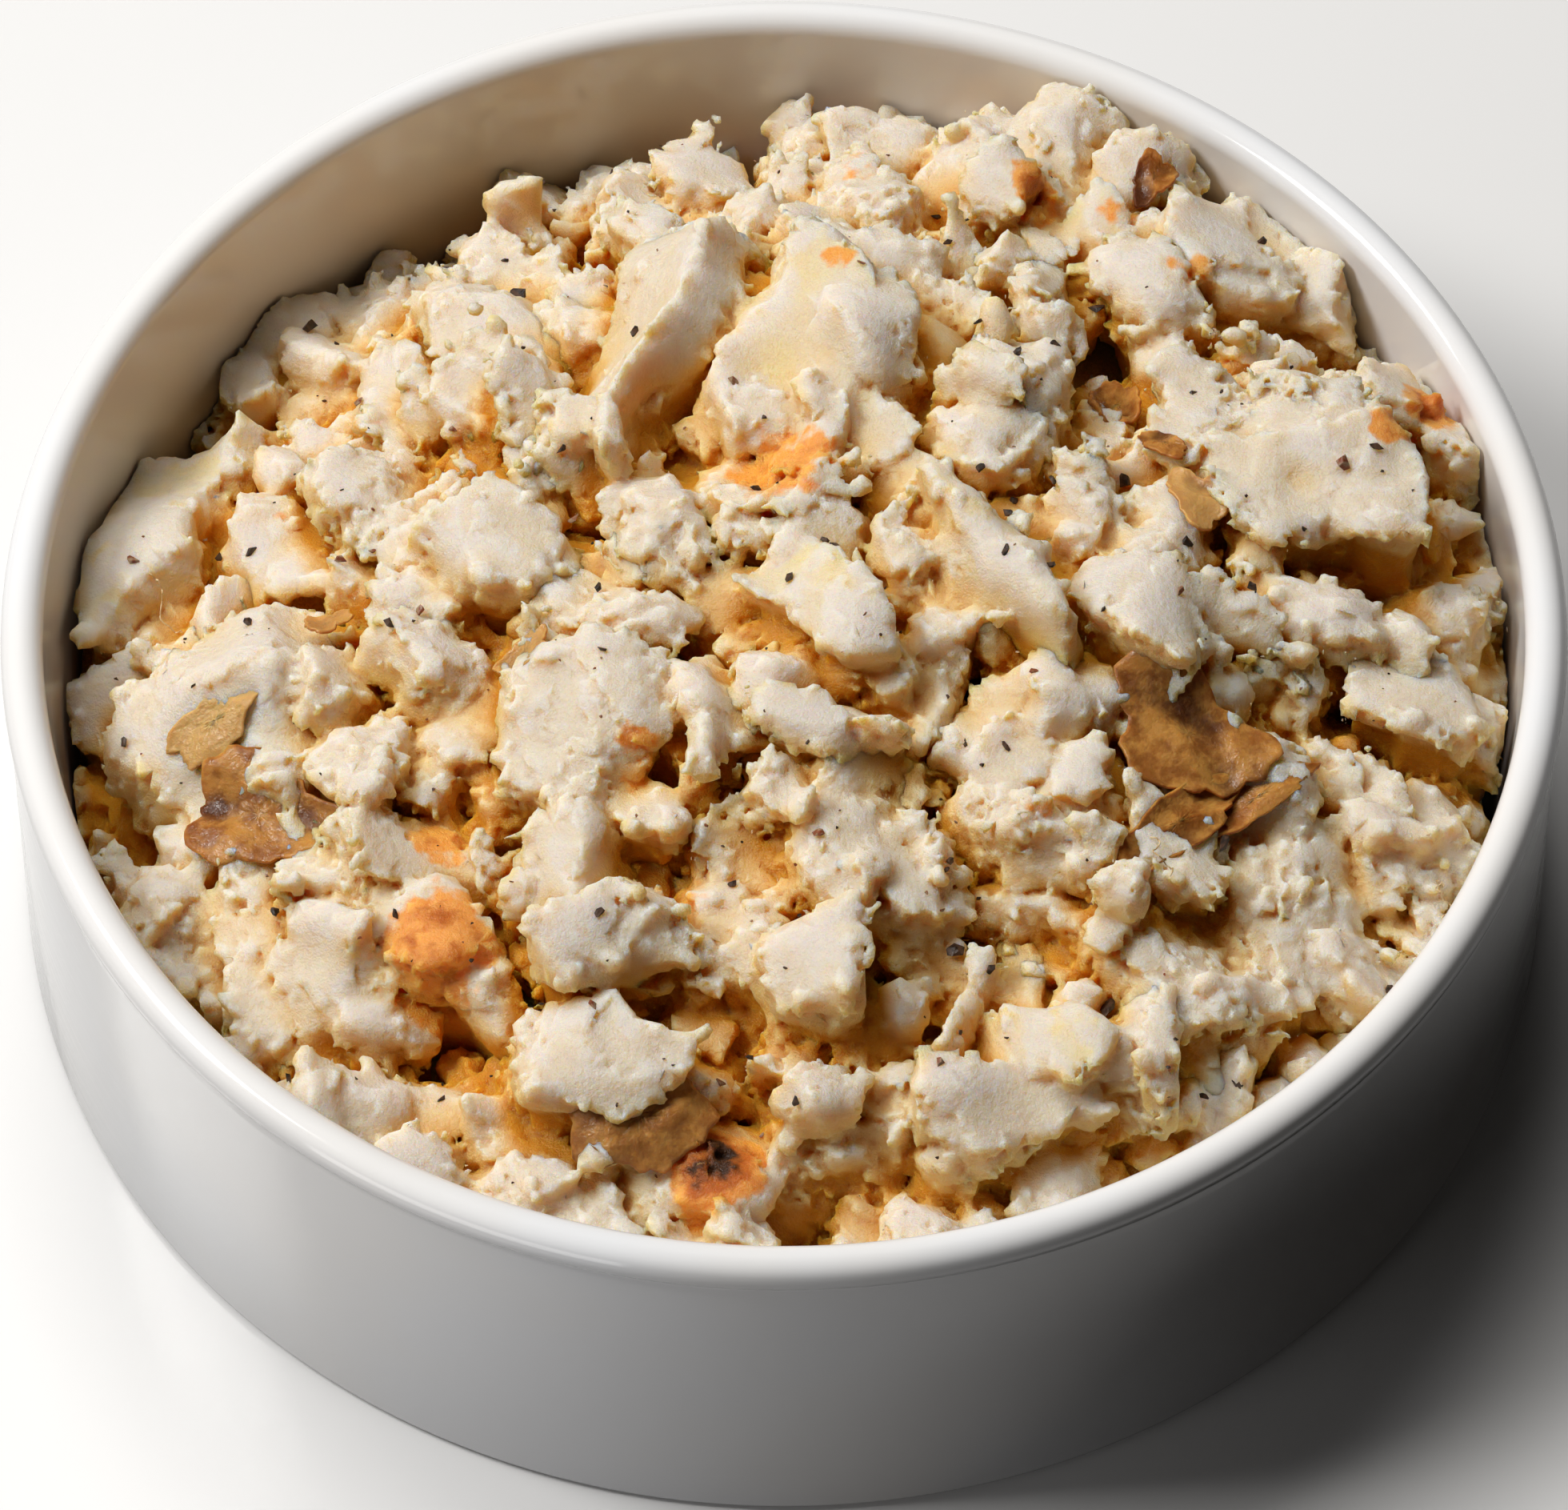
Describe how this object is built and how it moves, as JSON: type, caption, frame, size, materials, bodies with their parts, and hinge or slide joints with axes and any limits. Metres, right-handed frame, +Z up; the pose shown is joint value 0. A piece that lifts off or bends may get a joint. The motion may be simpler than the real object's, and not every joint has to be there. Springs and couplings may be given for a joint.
{
  "type": "mashed potato side in a bowl",
  "caption": "Round straight-sided porcelain bowl heaped with coarsely crushed potato, with pieces of browned skin lying in the heap.",
  "frame": {"origin": "centre of the bowl's foot, on the surface it stands on", "axes": "+Z up out of the bowl's mouth; +Y towards the back, where the heap is lowest against the wall; +X to the right"},
  "size_m": [0.14, 0.14, 0.0501],
  "materials": {
    "porcelain": "polished",
    "potato": "satin",
    "potato_skin": "matte"
  },
  "bodies": {
    "root": {"bowl": "porcelain", "mash": "potato", "skin_left": "potato_skin", "skin_right_upper": "potato_skin", "skin_right_lower": "potato_skin", "skin_front": "potato_skin", "skin_back": "potato_skin"}
  },
  "joints": []
}
